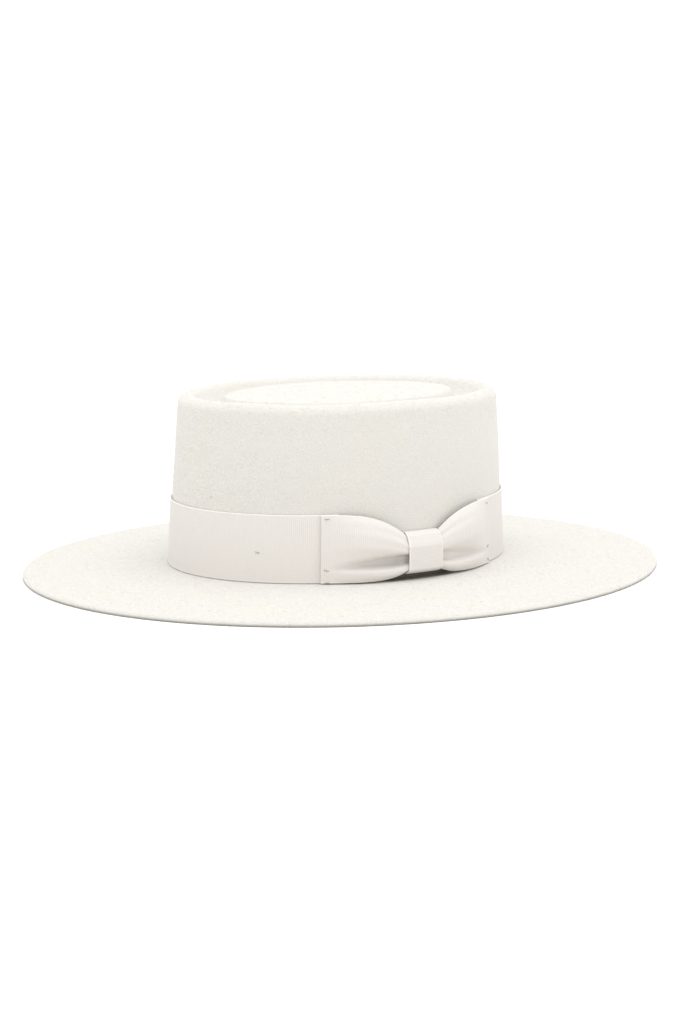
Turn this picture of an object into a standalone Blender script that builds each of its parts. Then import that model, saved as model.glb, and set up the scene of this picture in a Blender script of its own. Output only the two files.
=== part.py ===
"""Wide-brimmed felt gambler hat with a telescope crown, a ribbon band and a flat ribbon bow.

Metres, +Z up. The hat rests on its brim at z = 0, and the origin is the centre of the brim.
The wearer faces -Y, so the wearer's left, where the bow is sewn, is +X.
"""

import math

import bmesh
import bpy
import numpy as np
from mathutils import Vector

# Felt body
HEAD_LENGTH = 0.197  # inside, front to back: a 57 cm head
HEAD_WIDTH = 0.165  # inside, side to side
FELT = 0.003  # thickness of the felt everywhere
BRIM_WIDTH = 0.088  # from the foot of the crown to the brim's edge
BRIM_DROP = 0.003  # how far the brim's edge lies below the foot of the crown
BRIM_EDGE_ROUND = 0.001  # rounding of the brim's two edges
CROWN_HEIGHT = 0.0975  # from the brim at the foot of the crown to the crest of the rim
CROWN_TAPER = 0.0055  # how far the wall leans in on every side, foot to crest
WALL_FULLNESS = 0.0006  # how far the wall's middle stands out of a straight line
CROWN_LEAN = 0.002  # how far the crest sits behind the foot
CROWN_FORWARD = 0.004  # how far the crown stands ahead of the brim's centre
FOOT_RADIUS = 0.0015  # hollow curve between brim and wall
RIM_RADIUS = 0.0055  # rounding at the top of the wall
MOAT_WIDTH = 0.027  # from the wall's outer face to the shoulder of the tip
MOAT_DEPTH = 0.009  # of the moat below the crest
TIP_DROP = 0.0015  # the tip's shoulder lies this far below the crest
TIP_CROWNING = 0.0015  # rise of the tip's centre above its shoulder

# Ribbon
RIBBON = 0.001  # thickness of the grosgrain
RIBBON_WIDTH = 0.037
SEAT_GAP = 0.0004  # clearance between pieces that lie on each other
BAND_LIFT = 0.001  # lower edge of the ribbon above the foot of the crown
BAND_TUCK = 0.009  # how far each end of the band runs on under the bow

# Bow
BOW_LENGTH = 0.114  # from folded end to folded end
BOW_BULGE = 0.0055  # how far a loop's crest stands off its flat end
FOLD_RADIUS = 0.0008  # turn of the ribbon, at mid thickness, at each end of the bow
PINCH_TOP = 0.013  # how far the knot draws the loop's upper edge down
PINCH_FOOT = 0.0042  # how far it draws the lower edge up
KNOT_WIDTH = 0.021  # along the bow
KNOT_SQUEEZE = 0.0036  # how far the gathers fill the knot, out from the loop's flat end

# How late each change comes on the way from a folded end to the knot: 1 is even, more is later
TOP_EDGE_LATE = 3.0
FOOT_EDGE_LATE = 5.0
GATHERS_LATE = 2.0
SWELL_SHARE = 0.5  # share of half the bow over which a loop opens from its folded end

# Mesh density
AROUND = 64  # facets round the hat
BAND_STEPS = 54  # facets along the band
FRONT_STEPS = 13  # facets along the front of each side of the bow
BACK_STEPS = 6  # facets along its back
BOW_ROWS = 12  # facets across the ribbon in the bow
KNOT_STEPS = 4  # facets across the knot's width, and along the bow inside it
KNOT_TURNS = 36  # facets round the knot
ARC_SAMPLES = 720  # steps in the table of arc lengths round the crown
EDGE_SEGMENTS = 2  # facets across the brim's rounded edge
FOOT_TURNS = (0, 45, 90)  # degrees round the hollow curve at the foot of the crown
RIM_TURNS = (30, 60, 90)  # degrees round the rim, from the wall to the crest
SHARP_ANGLE = math.radians(40)  # faces that meet more sharply are shaded with an edge
RIM_ANGLE = math.radians(60)  # edges that meet more sharply are rounded

# Where the wall has rings of points, by share of its straight height
WALL_RINGS = (0.33, 0.67, 1.0)

# Where the tip has rings of points, by share of its half width
TIP_RINGS = (1.0, 0.86, 0.5)

# The brim's top face, from the foot of the crown outwards: (share of width, share of drop)
BRIM_SECTION = ((0.12, 0.10), (0.36, 0.42), (0.64, 0.80), (0.86, 0.98), (0.95, 1.0), (1.0, 1.0))

# The moat, from the rim's crest inwards: (share of moat width, share of depth)
MOAT_SECTION = ((0.33, 0.14), (0.48, 0.62), (0.62, 0.96), (0.74, 1.0), (0.86, 0.68), (0.94, 0.30))

# The bow's front layer across the ribbon, lower edge to upper edge: the full loop, and the
# gathers at the knot, with a small lower roll, a valley and a large upper roll
BOW_SECTION = (
    # (share of height, share of bulge in the loop, share of squeeze at the knot)
    (0.00, 0.30, 0.55),
    (0.08, 0.60, 0.92),
    (0.17, 0.74, 0.80),
    (0.25, 0.80, 0.12),
    (0.33, 0.85, 0.12),
    (0.42, 0.92, 0.52),
    (0.55, 1.00, 1.00),
    (0.72, 0.92, 0.96),
    (0.88, 0.66, 0.62),
    (1.00, 0.34, 0.18),
)

# Finishes
FELT_WHITE = (0.82, 0.80, 0.77, 1.0)
FELT_ROUGHNESS = 0.95
RIBBON_IVORY = (0.80, 0.76, 0.72, 1.0)
RIBBON_ROUGHNESS = 0.6

# Sizes that follow from these
HALF_WIDTH = HEAD_WIDTH / 2 + FELT  # of the crown's foot, outside
HALF_LENGTH = HEAD_LENGTH / 2 + FELT
FOOT_Z = FELT + BRIM_DROP  # top face of the brim at the crown
CREST_Z = FOOT_Z + CROWN_HEIGHT
BACK_OUT = 2 * SEAT_GAP + 1.5 * RIBBON  # middle of the bow's back layer, over the band
FRONT_OUT = BACK_OUT + 2 * FOLD_RADIUS  # middle of its front layer at the folded ends
KNOT_CLEAR = RIBBON + SEAT_GAP  # from the middle of the loop's ribbon to the middle of the knot's
HELD_SHARE = (KNOT_WIDTH + 2 * SEAT_GAP) / BOW_LENGTH  # share of half the bow that the knot holds


def smooth(share):
    """Eases from 0 to 1."""
    share = min(1.0, max(0.0, share))
    return share * share * (3 - 2 * share)


def material(name, colour, roughness):
    """A plain Principled finish."""
    made = bpy.data.materials.new(name)
    made.use_nodes = True
    shader = made.node_tree.nodes["Principled BSDF"]
    shader.inputs["Base Color"].default_value = colour
    shader.inputs["Roughness"].default_value = roughness
    shader.inputs["Metallic"].default_value = 0.0
    made.diffuse_color = colour
    return made


def cloth(rows, closed):
    """A bmesh of quads between rows of points, each row closed or open, and its last row."""
    shape = bmesh.new()
    grid = [[shape.verts.new(point) for point in row] for row in rows]
    for row, following in zip(grid, grid[1:]):
        count = len(row)
        for i in range(count if closed else count - 1):
            j = (i + 1) % count
            shape.faces.new((row[i], row[j], following[j], following[i]))
    return shape, grid[-1]


def finished_object(name, shape, finish):
    """Puts a bmesh into the scene, shaded smooth."""
    mesh = bpy.data.meshes.new(name)
    shape.to_mesh(mesh)
    shape.free()
    mesh.shade_smooth()
    mesh.set_sharp_from_angle(angle=SHARP_ANGLE)
    mesh.materials.append(finish)
    made = bpy.data.objects.new(name, mesh)
    bpy.context.scene.collection.objects.link(made)
    return made


def thicken(piece, thickness, offset):
    """Gives a sheet its thickness: offset -1 grows it inwards, 0 to both sides."""
    solid = piece.modifiers.new("thickness", "SOLIDIFY")
    solid.thickness = thickness
    solid.offset = offset
    solid.use_even_offset = True
    solid.use_quality_normals = True


# Felt body


def wall_inset(height):
    """How far the wall has leaned in at a height above the foot of the crown."""
    share = height / CROWN_HEIGHT
    return CROWN_TAPER * share - WALL_FULLNESS * 4 * share * (1 - share)


def crown_centre(height):
    """Y of the crown's middle at a height above its foot."""
    return -CROWN_FORWARD + CROWN_LEAN * height / CROWN_HEIGHT


def ring(outset, height, centre_y):
    """One oval of points, outset from the foot of the crown."""
    points = []
    for i in range(AROUND):
        angle = 2 * math.pi * i / AROUND
        x = (HALF_WIDTH + outset) * math.cos(angle)
        y = (HALF_LENGTH + outset) * math.sin(angle)
        points.append(Vector((x, centre_y + y, FOOT_Z + height)))
    return points


def brim_rings():
    """The brim's top face, edge first."""
    rings = []
    for out, drop in reversed(BRIM_SECTION):
        centre_y = -CROWN_FORWARD * (1 - smooth(out))
        rings.append(ring(BRIM_WIDTH * out, -BRIM_DROP * drop, centre_y))
    return rings


def foot_rings():
    """The hollow curve from the brim up into the wall."""
    rings = []
    for degrees in FOOT_TURNS:
        turn = math.radians(degrees)
        outset = FOOT_RADIUS * (1 - math.sin(turn))
        height = FOOT_RADIUS * (1 - math.cos(turn))
        rings.append(ring(outset - wall_inset(height), height, crown_centre(height)))
    return rings


def wall_rings():
    """The straight wall, and the rounding that carries it over to the crest."""
    top = CROWN_HEIGHT - RIM_RADIUS
    rings = []
    for share in WALL_RINGS:
        height = FOOT_RADIUS + (top - FOOT_RADIUS) * share
        rings.append(ring(-wall_inset(height), height, crown_centre(height)))
    for degrees in RIM_TURNS:
        turn = math.radians(degrees)
        height = top + RIM_RADIUS * math.sin(turn)
        inset = wall_inset(height) + RIM_RADIUS * (1 - math.cos(turn))
        rings.append(ring(-inset, height, crown_centre(CROWN_HEIGHT)))
    return rings


def top_rings():
    """The moat inside the rim, and the tip that it surrounds."""
    rings = []
    centre_y = crown_centre(CROWN_HEIGHT)
    for share, depth in MOAT_SECTION:
        inset = wall_inset(CROWN_HEIGHT) + MOAT_WIDTH * share
        rings.append(ring(-inset, CROWN_HEIGHT - MOAT_DEPTH * depth, centre_y))
    shoulder = wall_inset(CROWN_HEIGHT) + MOAT_WIDTH
    for spread in TIP_RINGS:
        rise = TIP_CROWNING * (1 - spread * spread)
        height = CROWN_HEIGHT - TIP_DROP + rise
        flat = ring(-shoulder, height, 0.0)
        rings.append([Vector((p.x * spread, centre_y + p.y * spread, p.z)) for p in flat])
    return rings


def make_felt_body(finish):
    """Crown and brim, blocked from one piece of felt."""
    rings = brim_rings() + foot_rings() + wall_rings() + top_rings()
    shape, innermost = cloth(rings, True)
    middle_z = CREST_Z - TIP_DROP + TIP_CROWNING
    middle = shape.verts.new((0.0, crown_centre(CROWN_HEIGHT), middle_z))
    for i in range(AROUND):
        shape.faces.new((innermost[i], innermost[(i + 1) % AROUND], middle))
    body = finished_object("felt_body", shape, finish)
    thicken(body, FELT, -1)
    edge = body.modifiers.new("brim edge", "BEVEL")
    edge.width = BRIM_EDGE_ROUND
    edge.segments = EDGE_SEGMENTS
    edge.limit_method = "ANGLE"
    edge.angle_limit = RIM_ANGLE


# Ribbon laid on the crown


def arc_table():
    """Angles round the foot of the crown, and the arc length to each from the left side."""
    angles = np.linspace(-math.pi, math.pi, ARC_SAMPLES + 1)
    x = HALF_WIDTH * np.cos(angles)
    y = HALF_LENGTH * np.sin(angles)
    steps = np.hypot(np.diff(x), np.diff(y))
    arcs = np.concatenate(([0.0], np.cumsum(steps)))
    return angles, arcs - arcs[len(arcs) // 2]


ANGLES, ARCS = arc_table()


def on_crown(arc, height, out):
    """The point at an arc length round from the wearer's left, a height up the wall and a way out of it."""
    angle = float(np.interp(arc, ARCS, ANGLES))
    semi_x = HALF_WIDTH - wall_inset(height)
    semi_y = HALF_LENGTH - wall_inset(height)
    along = Vector((semi_x * math.cos(angle), semi_y * math.sin(angle), 0.0))
    normal = Vector((math.cos(angle) / semi_x, math.sin(angle) / semi_y, 0.0)).normalized()
    normal.z = CROWN_TAPER / CROWN_HEIGHT
    normal.normalize()
    return along + Vector((0.0, crown_centre(height), FOOT_Z + height)) + normal * out


def make_ribbon_band(finish):
    """The band round the crown. Its two ends stop under the bow, so it is an open hoop."""
    first = BOW_LENGTH / 2 - BAND_TUCK
    last = 2 * ARCS[-1] - first
    middle = SEAT_GAP + RIBBON / 2
    rows = []
    for height in (BAND_LIFT, BAND_LIFT + RIBBON_WIDTH):
        row = []
        for i in range(BAND_STEPS + 1):
            arc = first + (last - first) * i / BAND_STEPS
            arc = arc if arc <= ARCS[-1] else arc - 2 * ARCS[-1]
            row.append(on_crown(arc, height, middle))
        rows.append(row)
    shape, _ = cloth(rows, False)
    band = finished_object("ribbon_band", shape, finish)
    thicken(band, RIBBON, 0)


# Bow


def nearness(place):
    """0 at a folded end of the bow, 1 where the knot holds it, by signed share of half the bow."""
    return min(1.0, (1 - abs(place)) / (1 - HELD_SHARE))


def bow_edges(place):
    """Heights of the loop's lower and upper edges."""
    near = nearness(place)
    lower = BAND_LIFT + PINCH_FOOT * near**FOOT_EDGE_LATE
    upper = BAND_LIFT + RIBBON_WIDTH - PINCH_TOP * near**TOP_EDGE_LATE
    return lower, upper


def bow_front_out(place, rise):
    """How far the front layer stands out, at a place along the bow and a share of its height."""
    heights = [row[0] for row in BOW_SECTION]
    bulge = float(np.interp(rise, heights, [row[1] for row in BOW_SECTION]))
    squeeze = float(np.interp(rise, heights, [row[2] for row in BOW_SECTION]))
    gathered = nearness(place) ** GATHERS_LATE
    swell = BOW_BULGE * bulge * smooth((1 - abs(place)) / SWELL_SHARE)
    return FRONT_OUT + swell * (1 - gathered) + KNOT_SQUEEZE * squeeze * gathered


def bow_places(steps):
    """Signed shares of half the bow from one folded end to the other, one at each side of the knot."""
    lobe = [1 - (1 - HELD_SHARE) * i / steps for i in range(steps)]
    held = [HELD_SHARE * (1 - 2 * i / KNOT_STEPS) for i in range(KNOT_STEPS + 1)]
    return lobe + held + [-place for place in reversed(lobe)]


def bow_point(place, rise, out):
    """A point of the loop at a place along the bow and a share of its height there."""
    lower, upper = bow_edges(place)
    return on_crown(BOW_LENGTH / 2 * place, lower + (upper - lower) * rise, out)


def bow_row(rise):
    """One line of points round the flat loop at a share of the ribbon's height."""
    front = [bow_point(place, rise, bow_front_out(place, rise)) for place in bow_places(FRONT_STEPS)]
    back = [bow_point(place, rise, BACK_OUT) for place in reversed(bow_places(BACK_STEPS))]
    end = BOW_LENGTH / 2 + FOLD_RADIUS
    height = BAND_LIFT + RIBBON_WIDTH * rise
    left_end = on_crown(end, height, BACK_OUT + FOLD_RADIUS)
    right_end = on_crown(-end, height, BACK_OUT + FOLD_RADIUS)
    return [left_end] + front + [right_end] + back


def make_bow_loop(finish):
    """The bow's ribbon: one flat loop, gathered in the middle."""
    shape, _ = cloth([bow_row(i / BOW_ROWS) for i in range(BOW_ROWS + 1)], True)
    loop = finished_object("bow_loop", shape, finish)
    thicken(loop, RIBBON, 0)


def knot_section():
    """The wrap seen from its end, at mid thickness: (height, out) points, taut round the gathers."""
    lower, upper = bow_edges(0.0)
    held = []
    for i in range(BOW_ROWS + 1):
        rise = i / BOW_ROWS
        height = lower + (upper - lower) * rise
        held.append((height, bow_front_out(0.0, rise)))
        held.append((height, BACK_OUT))
    points = []
    for i in range(KNOT_TURNS):
        turn = 2 * math.pi * i / KNOT_TURNS
        up, out = math.cos(turn), math.sin(turn)
        far_height, far_out = max(held, key=lambda point: point[0] * up + point[1] * out)
        points.append((far_height + KNOT_CLEAR * up, far_out + KNOT_CLEAR * out))
    return points


def make_bow_knot(finish):
    """The short ribbon wrapped round the middle of the bow."""
    rows = []
    for i in range(KNOT_STEPS + 1):
        arc = KNOT_WIDTH * (i / KNOT_STEPS - 0.5)
        rows.append([on_crown(arc, height, out) for height, out in knot_section()])
    shape, _ = cloth(rows, True)
    knot = finished_object("bow_knot", shape, finish)
    thicken(knot, RIBBON, 0)


def main():
    for old in list(bpy.data.objects):
        bpy.data.objects.remove(old, do_unlink=True)
    felt = material("white_wool_felt", FELT_WHITE, FELT_ROUGHNESS)
    grosgrain = material("ivory_grosgrain", RIBBON_IVORY, RIBBON_ROUGHNESS)
    make_felt_body(felt)
    make_ribbon_band(grosgrain)
    make_bow_loop(grosgrain)
    make_bow_knot(grosgrain)


main()
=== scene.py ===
"""Visual model of a white felt gambler hat, dressed around its fixed frame.

Metres, +Z up. The hat rests on its brim at z = 0 and the wearer faces -Y. The bow is sewn on the
wearer's left, +X. Lengths round the crown are arcs from the middle of the bow, growing towards +Y.
"""

import math

import bpy
import numpy as np
from bpy.props import FloatProperty, FloatVectorProperty, IntProperty, PointerProperty
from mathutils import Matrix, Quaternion, Vector, noise


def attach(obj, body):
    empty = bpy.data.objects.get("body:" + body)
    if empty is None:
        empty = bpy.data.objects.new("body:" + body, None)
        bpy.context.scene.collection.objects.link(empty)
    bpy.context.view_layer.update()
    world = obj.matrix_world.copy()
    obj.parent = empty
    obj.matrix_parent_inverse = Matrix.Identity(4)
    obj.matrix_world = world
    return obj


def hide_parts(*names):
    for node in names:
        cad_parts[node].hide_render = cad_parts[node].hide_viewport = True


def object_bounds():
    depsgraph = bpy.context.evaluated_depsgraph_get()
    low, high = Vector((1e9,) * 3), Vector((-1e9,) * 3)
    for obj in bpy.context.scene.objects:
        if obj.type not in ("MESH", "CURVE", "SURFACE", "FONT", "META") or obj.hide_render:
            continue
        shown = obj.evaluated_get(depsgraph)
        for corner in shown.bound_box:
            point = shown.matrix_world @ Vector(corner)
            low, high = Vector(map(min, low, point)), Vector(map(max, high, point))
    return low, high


bl_info = {
    "name": "Felt Gambler Hat",
    "version": (1, 0, 0),
    "blender": (4, 5, 0),
    "location": "3D View > Sidebar > Hat",
    "description": "Blocks a felt hat, raises its nap and dresses it with grosgrain ribbon",
    "category": "Add Mesh",
}

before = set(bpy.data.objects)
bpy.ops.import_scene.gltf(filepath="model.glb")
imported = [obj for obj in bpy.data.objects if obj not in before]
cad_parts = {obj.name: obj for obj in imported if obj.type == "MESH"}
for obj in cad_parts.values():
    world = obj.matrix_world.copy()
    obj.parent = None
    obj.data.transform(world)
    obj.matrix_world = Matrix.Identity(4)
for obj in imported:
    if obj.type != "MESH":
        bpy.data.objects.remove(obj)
CAD_LOW, CAD_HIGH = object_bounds()
PHOTO_SIZE = (683, 1024)  # pixels, width and height
BODY = "root"

# Mesh density
AROUND = 288  # facets round the felt
BRIM_RINGS = 40
FOOT_RINGS = 6
WALL_RINGS = 26
RIM_RINGS = 9
MOAT_RINGS = 40
TIP_RINGS = 14
EDGE_RINGS = 7
ARC_SAMPLES = 1440
RIB_STEPS = 5  # facets along each rib of the grosgrain
BAND_STEP = 0.0035  # facets across each ribbon, between its selvages
LOOP_STEP = 0.0013
WRAP_STEP = 0.0025
HELD_STEPS = 60  # samples of the gathers under the knot
TAUT_STEPS = 720  # directions tried round them
STITCH_POINTS = 9
THREAD_SIDES = 8
FLOOR_SIDES = 96
FLOOR_RINGS = (0.03, 0.15, 0.5, 1.0)  # shares of the floor's radius

# The brim's top face from the foot of the crown outwards
BRIM_SECTION = (
    # (share of width, share of drop)
    (0.00, 0.00),
    (0.12, 0.10),
    (0.36, 0.42),
    (0.64, 0.80),
    (0.86, 0.98),
    (1.00, 1.00),
)

# The moat between the rim and the tip, from the rim's crest inwards
MOAT_SECTION = (
    # (share of moat width, share of depth)
    (0.20, 0.00),
    (0.33, 0.14),
    (0.48, 0.62),
    (0.62, 0.96),
    (0.74, 1.00),
    (0.86, 0.68),
    (0.94, 0.30),
    (1.00, 0.17),
)

# The bow's front layer across the ribbon, lower edge to upper edge: a small lower roll, a deep
# valley, a large upper roll and a narrow crease near the top edge
BOW_SECTION = (
    # (share of height, share of bulge in the loop, share of squeeze at the knot)
    (0.00, 0.46, 0.36),
    (0.07, 0.64, 0.92),
    (0.16, 0.78, 0.90),
    (0.22, 0.82, 0.06),
    (0.31, 0.86, 0.00),
    (0.42, 0.94, 0.42),
    (0.54, 1.00, 0.98),
    (0.72, 0.94, 0.96),
    (0.84, 0.80, 0.60),
    (0.90, 0.66, 0.60),
    (1.00, 0.30, 0.06),
)

# The valley that runs from the knot out along each loop, in shares of the ribbon's height
VALLEY_FOOT = 0.19
VALLEY_WIDTHS = (0.03, 0.34)  # at its outer end and at the knot
VALLEY_LOWER_SIDE = 0.16  # share of its width in its steep lower side
VALLEY_UPPER_SIDES = (0.45, 0.8)  # and in its upper side, in the loops towards -Y and +Y
VALLEY_OPENS = 0.7  # how near the knot it has its full depth
FOLD_SHADE_THINS = 2.0  # how fast its painted shade thins out upwards, away from the knot
FOLD_SHADE_CLEAR = 0.12  # how near the knot the painted shade stops

# The bow's fine creases, and its back layer
CREASES = (6.5, 0.8)  # up its height, and along half of it
CREASES_LATE = 4  # how late they deepen towards the knot: 1 is even
BACK_LATE = 0.7  # how late the back layer is gathered in
LAYERS_APART = 1.3  # least distance between the layers' middles, in thicknesses

# Steps inwards from a ribbon's edge, over its tighter selvage, and the ribs beside it
SELVAGE_STEPS = (0.0, 0.00012, 0.0003, 0.0005, 0.0008, 0.0012)
EDGE_THICKNESS = 0.35  # share of the full thickness at the very edge
RIBS_RISE = 0.0004  # over which the ribs reach their height
RIB_ROUNDNESS = 0.7  # a power: below 1 fills the ribs out

# The band's upper edge stands off the felt a little here and there
SLACK = 0.00006
SLACK_WAVES = (41.0, 17.0)  # along the band, in radians a metre
SLACK_FROM = 0.7  # share of the width

# Where the felt is uneven: the wall above the band, and the brim's top
UNEVEN_WALL = (0.045, 0.02)  # height above the foot where it starts, and over which it grows
UNEVEN_BRIM = (0.62, 0.1)  # the same, as shares of the way out to the brim's edge
UNEVEN_FADE = 0.25  # share over which it fades before that edge
BRIM_HEIGHT = 0.001  # felt lower than this over the crown's foot is brim
WAVES = (24.0, 24.0, 18.0)  # noise steps in a metre
WAVES_START = (0.0, 0.0, 3.7)

# Where painted shade darkens the felt: in the gap under the bow, and low on the brim's cut edge
GAP_HEIGHT = (0.002, 0.007)  # painted shade in full below the first, none above both together
GAP_REACH = (0.97, 1.055, 0.02)  # from, to and fading over, in half widths of the crown
GAP_SPAN = (0.23, 0.007)  # share of the bow's length each way, fading over
CUT_EDGE = (0.0019, 0.0014)  # no painted shade above the first, in full when lower by the second
CUT_EDGE_REACH = 0.985  # share of the way out to the brim's edge

# Felt without loose fibres: under the band, and inside the crown
BAND_ZONE = (-0.001, 0.0395, 1.06)  # lowest and highest over the foot, and reach in half widths
INNER_ZONE = (0.985, 0.08)  # reach in half widths, and height over the foot
UNDERSIDE = -0.3  # felt whose normal points lower than this is on the underside

# Shares between which each fibre's measures are drawn
FIBRE_LENGTHS = (0.5, 1.6)
FIBRE_BENDS = (-0.35, 0.35)
FIBRE_LIFTS = (0.1, 1.0)
TIP_LIFTS = (0.0, 1.4)
FIBRE_RUN = 0.95  # a bent fibre's span, as a share of its length
FIBRE_TAPER = 0.8  # its radius half way, as a share of that at its root

# The soft box over the hat
BOX_PLACE = (0.2, 0.03, 1.5)
BOX_SIZE = 1.3
BOX_AIM = (0.0, 0.0, 0.05)


def metres(name, description, default):
    """A length as a property."""
    return FloatProperty(name=name, description=description, default=default, unit="LENGTH")


def srgb(text):
    """A hex colour, RRGGBB in sRGB, as linear red, green, blue and alpha."""
    parts = [int(text[i : i + 2], 16) / 255 for i in (0, 2, 4)]
    linear = [p / 12.92 if p <= 0.04045 else ((p + 0.055) / 1.055) ** 2.4 for p in parts]
    return (*linear, 1.0)


def tint(name, description, text):
    """A colour as a property, given as RRGGBB in sRGB."""
    return FloatVectorProperty(
        name=name, description=description, default=srgb(text), size=4, subtype="COLOR"
    )


class FeltSizes(bpy.types.PropertyGroup):
    """Sizes of the blocked felt body. Its overall size comes from the frame."""

    head_length: metres("Head length", "Inside the crown, front to back", 0.197)
    head_width: metres("Head width", "Inside the crown, side to side", 0.165)
    thickness: metres("Felt", "Thickness of the felt", 0.003)
    brim_drop: metres("Brim drop", "Brim's edge below the crown's foot", 0.003)
    edge_roll: metres("Edge roll", "Radius of the brim's rolled upper edge", 0.0019)
    # Painted shade low on the brim's cut edge, where the brim meets the floor
    edge_painted_shade: FloatProperty(
        name="Edge dust", description="How dusty the brim's cut edge is, low down",
        default=0.62, min=0, max=1,
    )
    edge_round: metres("Edge round", "Radius of the brim's lower edge", 0.0011)
    crown_taper: metres("Taper", "How far the wall leans in, foot to crest", 0.0055)
    wall_fullness: metres("Fullness", "How far the wall's middle stands out", 0.0006)
    crown_lean: metres("Lean", "How far the crest sits behind the foot", 0.002)
    crown_forward: metres("Forward", "Crown ahead of the brim's centre", 0.004)
    foot_radius: metres("Foot radius", "Hollow curve from brim to wall", 0.0008)
    rim_radius: metres("Rim radius", "Rounding at the top of the wall", 0.0055)
    moat_width: metres("Moat width", "From the wall to the tip's shoulder", 0.027)
    moat_depth: metres("Moat depth", "Depth of the moat below the rim", 0.009)
    tip_crowning: metres("Tip crowning", "Rise of the tip's centre", 0.0015)
    unevenness: metres("Unevenness", "How far hand blocking leaves the felt uneven", 0.0005)
    seed: IntProperty(
        name="Seed", description="Start of the unevenness's random draws", default=7, min=1
    )


class NapSizes(bpy.types.PropertyGroup):
    """The loose wool fibres on the felt."""

    count: IntProperty(name="Fibres", description="Number of loose fibres", default=17000, min=0)
    length: metres("Length", "Typical length of a loose fibre", 0.0028)
    radius: metres(
        "Radius", "Radius of a fibre, drawn coarser than wool's 0.01 mm so that it shows", 0.00006
    )
    lift: metres("Lift", "How far a fibre's middle stands off the felt", 0.00016)
    seed: IntProperty(name="Seed", description="Start of the random draws", default=11)


class RibbonSizes(bpy.types.PropertyGroup):
    """The grosgrain of band and bow."""

    width: metres("Width", "Width of the ribbon", 0.0376)
    thickness: metres("Thickness", "Thickness of the ribbon", 0.0007)
    rib_pitch: metres(
        "Rib pitch", "Rib to rib, drawn coarser than the real 0.75 mm so that it shows", 0.0011
    )
    rib_depth: metres("Rib depth", "Height of a rib over its groove", 0.00011)
    selvage: metres("Selvage", "Width of the tight woven edge", 0.0005)
    selvage_bead: metres("Selvage bead", "How much thicker the edge is", 0.00007)
    lift: metres("Lift", "Lower edge above the crown's foot", 0.0004)
    seat: metres("Seat", "From the felt to the middle of the band's ribbon", 0.0006)
    tuck: metres("Tuck", "How far the band runs on under the bow", 0.009)


class BowSizes(bpy.types.PropertyGroup):
    """The flat bow and the knot round its middle."""

    length: metres("Length", "Folded end to folded end", 0.114)
    back: metres("Back", "From the felt to the middle of the back layer", 0.0015)
    fold: metres("Fold", "Radius of the folded ends, at mid thickness", 0.0006)
    bulge: metres("Bulge", "Crest of a loop off its flat end", 0.0062)
    back_pinch: metres("Back pinch", "How much further the back layer is gathered in", 0.0022)
    swell: FloatProperty(
        name="Swell", description="Share of half the bow over which a loop opens",
        default=0.5, min=0.05, max=1.0,
    )
    pinch_top: metres("Upper pinch", "How far the knot draws the upper edge down", 0.013)
    pinch_foot: metres("Lower pinch", "How far the knot draws the lower edge up", 0.0042)
    top_late: FloatProperty(
        name="Upper lateness", description="How late the upper edge turns down: 1 is even", default=3.0
    )
    foot_late: FloatProperty(
        name="Lower lateness", description="How late the lower edge turns up: 1 is even", default=6.0
    )
    gathers_late: FloatProperty(
        name="Gathers lateness", description="How late the gathers deepen: 1 is even", default=1.5
    )
    squeeze: metres("Squeeze", "How far the gathers fill the knot", 0.0048)
    valley: metres("Valley", "Depth of the valley along each loop", 0.005)
    # Painted shade deep in the front loop's valley
    fold_painted_shade: FloatProperty(
        name="Fold dust", description="How dusty the ribbon is deep in the front loop's valley",
        default=0.34, min=0, max=1,
    )
    wrinkle: metres("Wrinkle", "Depth of the fine creases at the knot", 0.00018)
    knot_width: metres("Knot width", "Width of the wrap", 0.021)
    knot_clear: metres(
        "Knot clearance", "Middle of the loop's ribbon to the middle of the wrap's", 0.001
    )


class TackSizes(bpy.types.PropertyGroup):
    """The thread tacks that hold the bow and the band."""

    length: metres("Length", "Length of a stitch", 0.0028)
    radius: metres("Radius", "Radius of the thread", 0.00022)
    rise: metres("Rise", "How far a stitch arches up", 0.0003)


class FinishColours(bpy.types.PropertyGroup):
    """Colours of the hat's materials and of its setting."""

    felt: tint("Felt", "Bleached wool felt", "DEDBD7")
    felt_warm: tint("Felt, warm", "Creamier patches of the felt", "E0DCCF")
    fibre: tint("Loose fibre", "Single bleached wool fibres", "F3F1EB")
    felt_shade: tint("Felt, between fibres", "Felt seen down between its fibres", "CBC8C1")
    # Painted shade: mixed into the felt under the bow and low on the brim's cut edge, and into the ribbon
    # deep in the bow's front valley
    painted_shade: tint("Crevice", "Dust in the gap under the bow and in its folds", "5F5C4E")
    ribbon: tint("Ribbon", "Ivory grosgrain", "E0DCD7")
    selvage: tint("Selvage", "The ribbon's tight woven edge", "E7E3DE")
    # Painted shade: the ribbon's colour darkened in the grooves between its ribs
    groove: tint("Ribbon, in the grooves", "Grosgrain between its ribs", "CCC6C0")
    # Painted shade: darker than the ribbon for the dimples that the stitches pull into it
    thread: tint("Thread", "Sewing thread", "A9A398")
    floor: tint("Floor", "Pale paper under the hat", "FAFAF8")


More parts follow.
